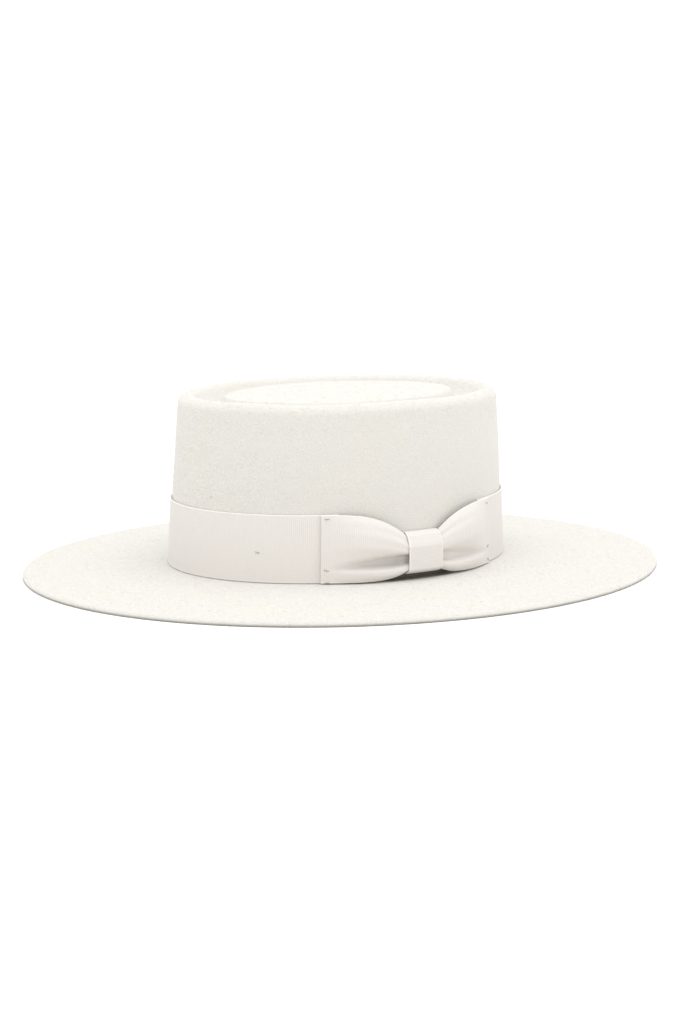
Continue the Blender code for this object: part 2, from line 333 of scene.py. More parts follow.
class StageSettings(bpy.types.PropertyGroup):
    """Camera, light and floor."""

    azimuth: FloatProperty(
        name="Azimuth", description="Camera round the hat, from the wearer's front",
        default=math.radians(58.0), subtype="ANGLE",
    )
    elevation: FloatProperty(
        name="Elevation", description="Camera above the level",
        default=math.radians(9.38), subtype="ANGLE",
    )
    distance: metres("Distance", "Camera from what it looks at", 1.34)
    target_z: metres("Aim height", "Height of the point at the picture's centre", 0.0306)
    target_right: metres("Aim right", "That point to the right of the hat's axis", -0.0006)
    roll: FloatProperty(
        name="Roll", description="Turn of the picture", default=math.radians(-0.5), subtype="ANGLE"
    )
    focal_pixels: FloatProperty(
        name="Focal length", description="In pixels of the picture", default=2283.0
    )
    dome: FloatProperty(name="Dome", description="Brightness of the white dome overhead", default=1.14)
    horizon: FloatProperty(
        name="Horizon", description="Brightness of the dome at the horizon", default=1.08
    )
    overhead: FloatProperty(
        name="Overhead box", description="Power of the soft box above the hat, in watts", default=10.0
    )
    floor_radius: metres("Floor radius", "Size of the floor", 14.0)


# Shared geometry


def smooth(share):
    """Eases from 0 to 1."""
    share = np.clip(share, 0.0, 1.0)
    return share * share * (3 - 2 * share)


def eased(shares, table, column):
    """A smooth curve with no overshoot through one column of a table whose first column is the share."""
    at = np.array([row[0] for row in table])
    values = np.array([row[column] for row in table])
    widths = np.diff(at)
    slopes = np.diff(values) / widths
    before, after = slopes[:-1], slopes[1:]
    tangents = np.zeros(len(at))
    same = before * after > 0
    tangents[1:-1][same] = 2 * before[same] * after[same] / (before[same] + after[same])
    i = np.clip(np.searchsorted(at, shares, side="right") - 1, 0, len(at) - 2)
    t = np.clip((shares - at[i]) / widths[i], 0.0, 1.0)
    rise = values[i + 1] - values[i]
    bend = widths[i] * (tangents[i] * t * (1 - t) ** 2 - tangents[i + 1] * t * t * (1 - t))
    return values[i] + rise * t * t * (3 - 2 * t) + bend


def unit(vectors):
    """Vectors brought to length 1."""
    return vectors / np.maximum(np.linalg.norm(vectors, axis=-1, keepdims=True), 1e-12)


class Crown:
    """The form that felt and ribbon share: the crown's sizes, and places on its wall."""

    def __init__(self, felt):
        self.felt = felt
        self.half_width = felt.head_width / 2 + felt.thickness
        self.half_length = felt.head_length / 2 + felt.thickness
        self.brim_width = CAD_HIGH.x - self.half_width
        self.foot_z = felt.thickness + felt.brim_drop
        self.height = CAD_HIGH.z - self.foot_z
        angles = np.linspace(-math.pi, math.pi, ARC_SAMPLES + 1)
        steps = np.hypot(
            np.diff(self.half_width * np.cos(angles)), np.diff(self.half_length * np.sin(angles))
        )
        arcs = np.concatenate(([0.0], np.cumsum(steps)))
        self.angles = angles
        self.arcs = arcs - arcs[len(arcs) // 2]
        self.girth = arcs[-1]

    def wall_inset(self, height):
        """How far the wall has leaned in at a height above its foot."""
        share = height / self.height
        return self.felt.crown_taper * share - self.felt.wall_fullness * 4 * share * (1 - share)

    def centre_y(self, height):
        """Y of the crown's middle at a height above its foot."""
        return -self.felt.crown_forward + self.felt.crown_lean * height / self.height

    def place(self, arc, height, out):
        """Points at an arc round the crown, a height up its wall and a way out of it."""
        arc, height, out = np.broadcast_arrays(arc, height, out)
        angle = np.interp((arc + self.girth / 2) % self.girth - self.girth / 2, self.arcs, self.angles)
        semi_x = self.half_width - self.wall_inset(height)
        semi_y = self.half_length - self.wall_inset(height)
        across, along = np.cos(angle), np.sin(angle)
        wall = np.stack(
            (semi_x * across, semi_y * along + self.centre_y(height), self.foot_z + height), axis=-1
        )
        lean = np.full_like(across, self.felt.crown_taper / self.height)
        level = unit(np.stack((across / semi_x, along / semi_y, np.zeros_like(across)), axis=-1))
        normal = unit(level + lean[..., None] * np.array((0.0, 0.0, 1.0)))
        return wall + normal * out[..., None]


def add_mesh(name, points, faces, finish):
    """A smooth-shaded object from points and faces."""
    mesh = bpy.data.meshes.new(name)
    mesh.from_pydata(points.tolist(), [], faces)
    mesh.materials.append(finish)
    mesh.shade_smooth()
    made = bpy.data.objects.new(name, mesh)
    bpy.context.scene.collection.objects.link(made)
    return made


def grid_faces(rows, columns, rows_closed, columns_closed):
    """Quads over a grid of points that is numbered row by row."""
    r = np.arange(rows if rows_closed else rows - 1)[:, None]
    c = np.arange(columns if columns_closed else columns - 1)[None, :]
    below = (r + 1) % rows
    beside = (c + 1) % columns
    corners = (r * columns + c, below * columns + c, below * columns + beside, r * columns + beside)
    return np.stack(corners, axis=-1).reshape(-1, 4).tolist()


def store(piece, name, kind, values):
    """Keeps a value for each point, which a material reads by its name."""
    field = "value" if kind == "FLOAT" else "vector"
    attribute = piece.data.attributes.new(name, kind, "POINT")
    attribute.data.foreach_set(field, np.asarray(values, np.float32).ravel())


# Materials


def join(tree, node, **links):
    """Gives a node's inputs, by name or by number as i0, a socket or a value."""
    for name, value in links.items():
        numbered = name[0] == "i" and name[1:].isdigit()
        socket = node.inputs[int(name[1:]) if numbered else name.replace("_", " ")]
        if isinstance(value, bpy.types.NodeSocket):
            tree.links.new(value, socket)
        else:
            socket.default_value = value


def add_node(tree, kind, settings=None, **links):
    """Adds a node. settings are its properties, and links give its inputs a socket or a value."""
    made = tree.nodes.new(kind)
    for name, value in (settings or {}).items():
        setattr(made, name, value)
    join(tree, made, **links)
    return made


def object_place(tree):
    """Places on the object, in metres."""
    return add_node(tree, "ShaderNodeTexCoord").outputs["Object"]


def point_value(tree, name, output="Fac"):
    """A value that was stored for each point."""
    return add_node(tree, "ShaderNodeAttribute", {"attribute_name": name}).outputs[output]


def mottled(tree, where, scale, **settings):
    """Noise from 0 to 1."""
    return add_node(tree, "ShaderNodeTexNoise", Vector=where, Scale=scale, **settings).outputs["Fac"]


def remap(tree, value, low, high, at_low, at_high):
    """Brings a value from one range to another and holds it at the ends."""
    return add_node(
        tree, "ShaderNodeMapRange", Value=value, From_Min=low, From_Max=high, To_Min=at_low, To_Max=at_high
    ).outputs[0]


def reckon(tree, operation, first, second=0.0):
    """One step of arithmetic."""
    return add_node(tree, "ShaderNodeMath", {"operation": operation}, i0=first, i1=second).outputs[0]


def blend(tree, share, first, second):
    """A colour between two: the second where the share is 1."""
    made = add_node(tree, "ShaderNodeMix", {"data_type": "RGBA"}, Factor=share, i6=first, i7=second)
    return made.outputs[2]


def relief(tree, strength, distance, height, **under):
    """Normals bent by a height, over the normals under them."""
    made = add_node(tree, "ShaderNodeBump", Strength=strength, Distance=distance, Height=height, **under)
    return made.outputs[0]


def new_material(name):
    """An empty material and its Principled shader."""
    made = bpy.data.materials.new(name)
    made.use_nodes = True
    return made, made.node_tree, made.node_tree.nodes["Principled BSDF"]


def wool_felt(colours):
    """Blocked, bleached wool felt.

    Matted fibres lie in every direction: a dead matt, finely mottled white whose nap glows a
    little where it is seen edge on.
    """
    made, tree, shader = new_material("blocked_wool_felt")
    where = object_place(tree)
    streaks = 0.0
    # Fibres 0.02 mm thick are drawn as 0.5 by 3 mm streaks, which show
    for turn in ((0.3, 0.2, 0.4), (1.1, 0.7, 1.9), (2.2, 1.6, 0.9)):
        turned = add_node(
            tree, "ShaderNodeMapping", Vector=where, Rotation=turn, Scale=(330.0, 1900.0, 1900.0)
        ).outputs[0]
        layer = mottled(tree, turned, 1.0, Detail=3.0, Roughness=0.55, Distortion=0.6)
        streaks = reckon(tree, "MAXIMUM", streaks, layer)
    # Matted clumps are about 4 mm across, and creamier patches about 45 mm
    clumps = mottled(tree, where, 260.0, Detail=5.0, Roughness=0.6, Distortion=1.2)
    patches = mottled(tree, where, 22.0, Detail=2.0, Roughness=0.5)
    warm = remap(tree, patches, 0.5, 0.75, 0.0, 0.7)
    ground = blend(tree, warm, colours.felt, colours.felt_warm)
    depth = remap(tree, streaks, 0.48, 0.68, 0.75, 0.0)
    fibred = blend(tree, depth, ground, colours.felt_shade)
    # Painted shade mixed into the felt under the bow and low on the brim's cut edge
    finished = blend(tree, point_value(tree, "painted_shade"), fibred, colours.painted_shade)
    coarse = relief(tree, 0.35, 0.0006, clumps)
    fine = relief(tree, 0.5, 0.00035, streaks, Normal=coarse)
    join(
        tree, shader, Base_Color=finished, Normal=fine, Roughness=0.95, IOR=1.45, Specular_IOR_Level=0.25,
        Sheen_Weight=0.25, Sheen_Roughness=0.5,
    )
    return made


def loose_wool(colours):
    """Loose wool fibres of the nap: single pale hairs that catch the light."""
    made, tree, shader = new_material("loose_wool_fibre")
    # The shade changes about every 1 mm along a fibre
    shade = mottled(tree, object_place(tree), 900.0, Detail=1.0)
    finished = blend(tree, shade, colours.fibre, colours.felt_warm)
    join(tree, shader, Base_Color=finished, Roughness=0.6, IOR=1.55)
    return made


def grosgrain(colours, pitch):
    """Woven grosgrain of viscose and cotton.

    Round ribs run across the ribbon under a close warp: a soft sheen along the ribs, painted shade in the
    grooves, with fine lines of warp running lengthways.
    """
    made, tree, shader = new_material("woven_grosgrain")
    weave = point_value(tree, "weave", "Vector")
    parts = add_node(tree, "ShaderNodeSeparateXYZ", Vector=weave)
    inside = parts.outputs["Z"]  # 1 on the ribs, 0 on the selvage
    turns = reckon(tree, "MULTIPLY", parts.outputs["X"], math.pi / pitch)
    ridge = reckon(tree, "ABSOLUTE", reckon(tree, "SINE", turns))
    # Painted shade in the grooves between the ribs, none on the selvage
    grooves = reckon(tree, "MULTIPLY", remap(tree, ridge, 0.0, 0.6, 0.55, 0.0), inside)
    # Warp threads 0.15 mm apart are drawn 0.4 mm apart
    lengthways = add_node(tree, "ShaderNodeMapping", Vector=weave, Scale=(180.0, 2500.0, 0.0)).outputs[0]
    warp = mottled(tree, lengthways, 1.0, Detail=2.0, Roughness=0.6)
    # The darker of the painted groove shade and the warp's own random tone
    darker = reckon(tree, "MAXIMUM", grooves, remap(tree, warp, 0.35, 0.7, 0.25, 0.0))
    ribs = blend(tree, darker, colours.ribbon, colours.groove)
    clean = blend(tree, inside, colours.selvage, ribs)
    # Painted shade mixed into the ribbon deep in the bow's front valley
    finished = blend(tree, point_value(tree, "painted_shade"), clean, colours.painted_shade)
    join(
        tree, shader, Base_Color=finished, Normal=relief(tree, 0.3, 0.0001, warp), Roughness=0.62, IOR=1.5,
        Specular_IOR_Level=0.35, Sheen_Weight=0.12, Sheen_Roughness=0.4,
    )
    return made


def spun_thread(colours):
    """Spun polyester sewing thread: matt, with its twist showing, and a little darker than the ribbon as
    painted shade of the dimples the stitches pull into it.
    """
    made, tree, shader = new_material("spun_sewing_thread")
    twist = add_node(
        tree, "ShaderNodeTexWave", {"bands_direction": "DIAGONAL"}, Vector=object_place(tree), Scale=1500.0,
        Distortion=1.0,
    ).outputs["Fac"]
    join(tree, shader, Base_Color=colours.thread, Normal=relief(tree, 0.5, 0.0001, twist), Roughness=0.7)
    return made


def seamless_paper(colours):
    """Matt white background paper with a faint grain."""
    made, tree, shader = new_material("seamless_paper")
    grain = mottled(tree, object_place(tree), 900.0, Detail=3.0)
    join(
        tree, shader, Base_Color=colours.floor, Normal=relief(tree, 0.05, 0.0002, grain), Roughness=0.9,
        Specular_IOR_Level=0.1,
    )
    return made


# Felt


def felt_top(crown):
    """The felt's top face as ovals, from the brim's rolled edge to the middle of the tip.

    Gives an array with a row for each oval: half width, half length, height and centre's y.
    """
    felt = crown.felt
    first = 1 - felt.edge_roll / crown.brim_width
    share = np.linspace(first, felt.foot_radius / crown.brim_width, BRIM_RINGS, endpoint=False)
    drop = felt.brim_drop * eased(share, BRIM_SECTION, 1)
    brim = [crown.brim_width * share, -drop, -felt.crown_forward * (1 - smooth(share))]

    turn = np.linspace(0, math.pi / 2, FOOT_RINGS, endpoint=False)
    height = felt.foot_radius * (1 - np.cos(turn))
    outset = felt.foot_radius * (1 - np.sin(turn)) - crown.wall_inset(height)
    foot = [outset, height, crown.centre_y(height)]

    top = crown.height - felt.rim_radius
    height = np.linspace(felt.foot_radius, top, WALL_RINGS, endpoint=False)
    wall = [-crown.wall_inset(height), height, crown.centre_y(height)]

    turn = np.linspace(0, math.pi / 2, RIM_RINGS, endpoint=False)
    height = top + felt.rim_radius * np.sin(turn)
    inset = crown.wall_inset(height) + felt.rim_radius * (1 - np.cos(turn))
    rim = [-inset, height, crown.centre_y(height)]

    crest_inset = crown.wall_inset(crown.height)
    share = np.linspace(MOAT_SECTION[0][0], 1, MOAT_RINGS, endpoint=False)
    depth = felt.moat_depth * eased(share, MOAT_SECTION, 1)
    centre = np.full_like(share, crown.centre_y(crown.height))
    moat = [-crest_inset - felt.moat_width * share, crown.height - depth, centre]

    outset, height, centre = np.concatenate((brim, foot, wall, rim, moat), axis=1)
    ovals = np.stack(
        (crown.half_width + outset, crown.half_length + outset, crown.foot_z + height, centre), 1
    )

    spread = np.linspace(1, 0, TIP_RINGS, endpoint=False)
    shoulder = crest_inset + felt.moat_width
    shoulder_z = CAD_HIGH.z - felt.moat_depth * MOAT_SECTION[-1][1]
    tip = np.stack(
        (
            (crown.half_width - shoulder) * spread,
            (crown.half_length - shoulder) * spread,
            shoulder_z + felt.tip_crowning * (1 - spread**2),
            np.full_like(spread, crown.centre_y(crown.height)),
        ),
        1,
    )
    return np.concatenate((ovals, tip))


def felt_underside(top, thickness):
    """The felt's inner face: the top face's ovals moved in by the felt's thickness."""
    run = np.gradient(top[:, 0])
    rise = np.gradient(top[:, 2])
    length = np.hypot(run, rise)
    inner = top.copy()
    inner[:, 0] -= thickness * rise / length
    inner[:, 1] -= thickness * rise / length
    inner[:, 2] += thickness * run / length
    for _ in range(3):
        inner[1:-1] = (inner[:-2] + 2 * inner[1:-1] + inner[2:]) / 4
    return inner


def brim_edge(crown):
    """Ovals round the brim's edge, from its underside up to its rolled top corner."""
    felt = crown.felt
    semi = np.array((CAD_HIGH.x, CAD_HIGH.y))
    low = np.linspace(-math.pi / 2, 0, EDGE_RINGS)
    high = np.linspace(0, math.pi / 2, EDGE_RINGS, endpoint=False)
    inset = np.concatenate((felt.edge_round * (1 - np.cos(low)), felt.edge_roll * (1 - np.cos(high))))
    height = np.concatenate(
        (felt.edge_round * (1 + np.sin(low)), felt.thickness - felt.edge_roll * (1 - np.sin(high)))
    )
    return np.stack((semi[0] - inset, semi[1] - inset, height, np.zeros_like(inset)), 1)


def unevenness(points, crown):
    """How far each point of the felt is moved: soft waves that hand blocking leaves."""
    felt = crown.felt
    height = points[:, 2] - crown.foot_z
    reach = np.hypot(points[:, 0] / CAD_HIGH.x, points[:, 1] / CAD_HIGH.y)
    on_wall = smooth((height - UNEVEN_WALL[0]) / UNEVEN_WALL[1])
    on_brim = smooth((1.0 - reach) / UNEVEN_FADE) * smooth((reach - UNEVEN_BRIM[0]) / UNEVEN_BRIM[1])
    on_brim = on_brim * (height < BRIM_HEIGHT)
    amount = felt.unevenness * (on_wall[:, None] + on_brim[:, None] * np.array((0.0, 0.0, 1.0)))
    moved = np.zeros_like(points)
    noise.seed_set(felt.seed)
    spots = points * WAVES + WAVES_START
    for i in np.flatnonzero(amount.any(axis=1)):
        moved[i] = noise.noise_vector(Vector(spots[i]))
    moved[:, 2] = np.where(on_brim > 0, np.abs(moved[:, 2]), moved[:, 2])
    return moved * amount


def painted_shading(points, crown, bow):
    """How much painted shade darkens the felt: in the gap under the bow and low on the brim's cut edge."""
    low = smooth(1 - (points[:, 2] - crown.foot_z - GAP_HEIGHT[0]) / GAP_HEIGHT[1])
    ahead = points[:, 1] + crown.felt.crown_forward
    outset = np.hypot(points[:, 0] / crown.half_width, ahead / crown.half_length)
    near = smooth((GAP_REACH[1] - outset) / GAP_REACH[2]) * (outset > GAP_REACH[0])
    along = smooth((bow.length * GAP_SPAN[0] - np.abs(ahead)) / GAP_SPAN[1])
    gap = low * near * along * (points[:, 0] > 0)
    reach = np.hypot(points[:, 0] / CAD_HIGH.x, points[:, 1] / CAD_HIGH.y)
    # Painted shade low on the brim's cut edge
    cut_edge = smooth((CUT_EDGE[0] - points[:, 2]) / CUT_EDGE[1]) * (reach > CUT_EDGE_REACH)
    return np.maximum(gap, crown.felt.edge_painted_shade * cut_edge)


class HAT_OT_block_felt(bpy.types.Operator):
    """Block the crown and brim from one piece of felt"""

    bl_idname = "hat.block_felt"
    bl_label = "Block Felt"

    def execute(self, context):
        crown = Crown(context.scene.hat_felt)
        top = felt_top(crown)
        under = felt_underside(top, crown.felt.thickness)
        ovals = np.concatenate((under[::-1], brim_edge(crown), top))
        angle = np.linspace(0, 2 * math.pi, AROUND, endpoint=False)
        points = np.stack(
            (
                ovals[:, 0:1] * np.cos(angle),
                ovals[:, 3:4] + ovals[:, 1:2] * np.sin(angle),
                np.repeat(ovals[:, 2:3], AROUND, axis=1),
            ),
            axis=-1,
        )
        flat = points.reshape(-1, 3)
        middles = [(0.0, ovals[end, 3], ovals[end, 2]) for end in (0, -1)]
        flat = np.concatenate((flat, middles))
        flat = flat + unevenness(flat, crown)
        rings = len(ovals)
        # Rows run up the section, so the quads are turned to face outwards
        faces = [face[::-1] for face in grid_faces(rings, AROUND, False, True)]
        last = (rings - 1) * AROUND
        for i in range(AROUND):
            j = (i + 1) % AROUND
            faces.append((j, i, rings * AROUND))
            faces.append((last + i, last + j, rings * AROUND + 1))
        felt = add_mesh("felt_crown_and_brim", flat, faces, wool_felt(context.scene.hat_colours))
        # Painted shade for the felt's material, under the bow and low on the brim's cut edge
        store(felt, "painted_shade", "FLOAT", painted_shading(flat, crown, context.scene.hat_bow))
        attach(felt, BODY)
        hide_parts("felt_body")
        return {"FINISHED"}


class HAT_OT_raise_nap(bpy.types.Operator):
    """Lay loose wool fibres on the felt"""

    bl_idname = "hat.raise_nap"
    bl_label = "Raise Nap"

    def execute(self, context):
        felt = bpy.data.objects.get("felt_crown_and_brim")
        if felt is None:
            raise RuntimeError("block the felt before raising its nap")
        nap = context.scene.hat_nap
        crown = Crown(context.scene.hat_felt)
        draw = np.random.default_rng(nap.seed)
        mesh = felt.data
        count = len(mesh.polygons)
        centres = np.zeros(count * 3)
        normals = np.zeros(count * 3)
        areas = np.zeros(count)
        mesh.polygons.foreach_get("center", centres)
        mesh.polygons.foreach_get("normal", normals)
        mesh.polygons.foreach_get("area", areas)
        centres, normals = centres.reshape(-1, 3), normals.reshape(-1, 3)
        height = centres[:, 2] - crown.foot_z
        reach = np.hypot(centres[:, 0] / crown.half_width, centres[:, 1] / crown.half_length)
        low, high, widest = BAND_ZONE
        under_band = (height > low) & (height < high) & (reach < widest)
        inside = (normals[:, 2] < UNDERSIDE) | ((reach < INNER_ZONE[0]) & (height < INNER_ZONE[1]))
        chance = areas * np.where(under_band | inside, 0.0, 1.0)
        at = draw.choice(count, nap.count, p=chance / chance.sum())
        normal = normals[at]
        side = unit(np.cross(normal, draw.normal(size=(nap.count, 3))))
        ahead = np.cross(side, normal)
        jitter = np.sqrt(areas[at])[:, None] * draw.uniform(-0.5, 0.5, (nap.count, 2))
        root = centres[at] + side * jitter[:, :1] + ahead * jitter[:, 1:] - normal * nap.radius
        length = nap.length * draw.uniform(*FIBRE_LENGTHS, (nap.count, 1))
        bend = length * draw.uniform(*FIBRE_BENDS, (nap.count, 1))
        lift = nap.lift * draw.uniform(*FIBRE_LIFTS, (nap.count, 1))
        tip_lift = lift * draw.uniform(*TIP_LIFTS, (nap.count, 1))
        middle = root + ahead * length / 2 + side * bend / 2 + normal * lift
        tip = root + ahead * length * FIBRE_RUN + side * bend + normal * tip_lift
        # Fibres that would reach the floor are left out
        kept = np.minimum(middle[:, 2], tip[:, 2]) > 2 * nap.radius
        root, middle, tip, side, normal = (each[kept] for each in (root, middle, tip, side, normal))
        corners = [
            normal * math.sin(turn) + side * math.cos(turn)
            for turn in (math.pi / 2 + 2 * math.pi * k / 3 for k in range(3))
        ]
        rings = [root + corner * nap.radius for corner in corners]
        rings += [middle + corner * nap.radius * FIBRE_TAPER for corner in corners]
        points = np.stack(rings + [tip], axis=1).reshape(-1, 3)
        pattern = ((0, 2, 1), (0, 1, 4, 3), (1, 2, 5, 4), (2, 0, 3, 5), (3, 4, 6), (4, 5, 6), (5, 3, 6))
        faces = [tuple(7 * n + k for k in face) for n in range(len(root)) for face in pattern]
        fibres = add_mesh("wool_nap", points, faces, loose_wool(context.scene.hat_colours))
        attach(fibres, BODY)
        return {"FINISHED"}


# Ribbon


def across_ribbon(width, step):
    """Places across a ribbon, close together over its selvages and about a step apart between them."""
    edge = np.array(SELVAGE_STEPS)
    count = max(2, round((width - 2 * edge[-1]) / step))
    between = np.linspace(edge[-1], width - edge[-1], count + 1)[1:-1]
    return np.concatenate((edge, between, width - edge[::-1]))


def woven(name, middle, along, across, closed, ribbon, finish):
    """A ribbon of real thickness over its middle surface, with its ribs and selvages.

    middle is a grid of points, along the ribbon by across it, and along and across are their
    places on the flat ribbon.
    """
    if closed:
        lengthways = np.roll(middle, -1, axis=0) - np.roll(middle, 1, axis=0)
    else:
        lengthways = np.gradient(middle, axis=0)
    normal = unit(np.cross(lengthways, np.gradient(middle, axis=1)))
    edge = np.minimum(across, across[-1] - across)
    full = np.sin(np.minimum(1.0, edge / (ribbon.thickness / 2)) * math.pi / 2)
    rounded = EDGE_THICKNESS + (1 - EDGE_THICKNESS) * full
    ribbed = smooth((edge - ribbon.selvage) / RIBS_RISE)
    bead = ribbon.selvage_bead * (1 - ribbed) * rounded
    ridge = np.abs(np.sin(math.pi * along / ribbon.rib_pitch)) ** RIB_ROUNDNESS - 0.5
    half = ribbon.thickness / 2 * rounded + bead + ribbon.rib_depth * ridge[:, None] * ribbed
    front = middle + normal * half[..., None]
    back = middle - normal * half[..., None]
    points = np.concatenate((front, back[:, ::-1]), axis=1)
    rows, columns = points.shape[:2]
    faces = grid_faces(rows, columns, closed, True)
    if not closed:
        for c in range(columns // 2 - 1):
            start = (c, c + 1, columns - 2 - c, columns - 1 - c)
            faces.append(start)
            faces.append(tuple((rows - 1) * columns + k for k in reversed(start)))
    piece = add_mesh(name, points.reshape(-1, 3), faces, finish)
    both = np.concatenate((across, across[::-1]))
    on_ribs = np.concatenate((ribbed, ribbed[::-1]))
    weave = np.stack(np.broadcast_arrays(along[:, None], both[None, :], on_ribs[None, :]), axis=-1)
    store(piece, "weave", "FLOAT_VECTOR", weave)
    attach(piece, BODY)
    return piece


def along_ribbon(length, pitch):
    """Places along a ribbon, a few for each rib."""
    return np.linspace(0, length, round(length / pitch) * RIB_STEPS, endpoint=False)


class Bow:
    """Places on the bow's flat loop and on the wrap round its middle."""

    def __init__(self, crown, ribbon, bow):
        self.crown, self.ribbon, self.bow = crown, ribbon, bow
        self.reach = bow.length / 2
        self.held = bow.knot_width / bow.length
        self.front = bow.back + 2 * bow.fold
        self.fold_length = math.pi * bow.fold

    def nearness(self, place):
        """0 at a folded end, 1 where the knot holds the bow, by signed share of half the bow."""
        return np.clip((1 - np.abs(place)) / (1 - self.held), 0.0, 1.0)

    def edges(self, place):
        """Heights of the loop's lower and upper edges."""
        near = self.nearness(place)
        low = self.ribbon.lift + self.bow.pinch_foot * near**self.bow.foot_late
        high = self.ribbon.lift + self.ribbon.width - self.bow.pinch_top * near**self.bow.top_late
        return low, high

    def valley_share(self, place, rise):
        """Share of the valley's depth at a point of the front layer, and how far up its sides that is."""
        near = self.nearness(place)
        narrow, wide = VALLEY_WIDTHS
        into = (rise - VALLEY_FOOT) / (narrow + (wide - narrow) * near)
        upper_side = np.where(place < 0, *VALLEY_UPPER_SIDES)
        sides = smooth(into / VALLEY_LOWER_SIDE) * smooth((1 - into) / upper_side)
        return sides * smooth(near / VALLEY_OPENS), into

    def painted_shading(self, along, rise):
        """How much painted shade darkens the loop: along the foot of the valley towards -Y, and most of it
        by the knot.
        """
        place, rise = along[:, None] / self.reach - 1, rise[None, :]
        near = self.nearness(place)
        deep, into = self.valley_share(place, rise)
        low_down = np.clip(1 - FOLD_SHADE_THINS * (1 - near) * into, 0.0, 1.0)
        clear = smooth((1 - near) / FOLD_SHADE_CLEAR)
        return self.bow.fold_painted_shade * deep * low_down * clear * (place < 0)

    def front_out(self, place, rise):
        """How far the front layer stands out, at a place along the bow and a share of its height."""
        near = self.nearness(place)
        gathered = near**self.bow.gathers_late
        bulge = self.bow.bulge * eased(rise, BOW_SECTION, 1) * smooth((1 - np.abs(place)) / self.bow.swell)
        squeeze = self.bow.squeeze * eased(rise, BOW_SECTION, 2)
        waves = np.sin(2 * math.pi * (rise * CREASES[0] + place * CREASES[1]))
        creases = self.bow.wrinkle * near**CREASES_LATE * waves
        valley = self.bow.valley * self.valley_share(place, rise)[0]
        out = self.front + bulge * (1 - gathered) + squeeze * gathered + creases - valley
        return np.maximum(out, self.bow.back + LAYERS_APART * self.ribbon.thickness)

    def loop(self, along, rise):
        """The loop's middle surface, from the end towards -Y along the front, and back behind."""
        along, rise = along[:, None], rise[None, :]
        bow = self.bow
        front_end = bow.length
        far_fold = front_end + self.fold_length
        back_end = far_fold + bow.length
        place = np.where(
            along < front_end, along / self.reach - 1, 1 - (along - far_fold) / self.reach
        ).clip(-1, 1)
        turn = math.pi * np.where(
            along < far_fold,
            (along - front_end) / self.fold_length,
            1 + (along - back_end) / self.fold_length,
        )
        folding = ((along >= front_end) & (along < far_fold)) | (along >= back_end)
        low, high = self.edges(place)
        behind = bow.back_pinch * self.nearness(place) ** BACK_LATE * (along > far_fold)
        height = low + behind + (high - low - 2 * behind) * rise
        layer = np.where(along < front_end, self.front_out(place, rise), bow.back)
        out = np.where(folding, bow.back + bow.fold * (1 + np.cos(turn)), layer)
        over = np.where(folding, bow.fold * np.sin(turn), 0.0)
        return self.crown.place(place * self.reach + np.where(folding, over, 0.0), height, out)

    def wrap_section(self, count):
        """Heights and ways out of the wrap's middle, taut round the gathers, front side downwards."""
        rise = np.linspace(0, 1, HELD_STEPS)
        low, high = self.edges(0.0)
        held = np.concatenate(
            (
                np.stack((low + (high - low) * rise, self.front_out(0.0, rise)), 1),
                np.stack((low + (high - low) * rise, np.full_like(rise, self.bow.back)), 1),
            )
        )
        turn = np.linspace(0, 2 * math.pi, TAUT_STEPS + 1)
        facing = np.stack((np.cos(turn), np.sin(turn)), 1)
        far = held[np.argmax(held @ facing.T, axis=0)] + self.bow.knot_clear * facing
        steps = np.linalg.norm(np.diff(far, axis=0), axis=1)
        run = np.concatenate(([0.0], np.cumsum(steps)))
        at = np.linspace(0, run[-1], count, endpoint=False)
        return np.interp(at, run, far[:, 0]), np.interp(at, run, far[:, 1]), run[-1]


class HAT_OT_wrap_band(bpy.types.Operator):
    """Wrap the grosgrain band round the foot of the crown"""

    bl_idname = "hat.wrap_band"
    bl_label = "Wrap Band"

    def execute(self, context):
        crown = Crown(context.scene.hat_felt)
        ribbon = context.scene.hat_ribbon
        start = context.scene.hat_bow.length / 2 - ribbon.tuck
        length = crown.girth - 2 * start
        along = along_ribbon(length, ribbon.rib_pitch)
        across = across_ribbon(ribbon.width, BAND_STEP)
        waves = 1 + np.sin(along * SLACK_WAVES[0]) * np.sin(along * SLACK_WAVES[1] + 1.0)
        high_up = smooth((across / ribbon.width - SLACK_FROM) / (1 - SLACK_FROM))
        out = ribbon.seat + SLACK * waves[:, None] * high_up[None, :]
        middle = crown.place((start + along)[:, None], ribbon.lift + across[None, :], out)
        finish = grosgrain(context.scene.hat_colours, ribbon.rib_pitch)
        band = woven("grosgrain_band", middle, along, across, False, ribbon, finish)
        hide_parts("ribbon_band")
        return {"FINISHED"}


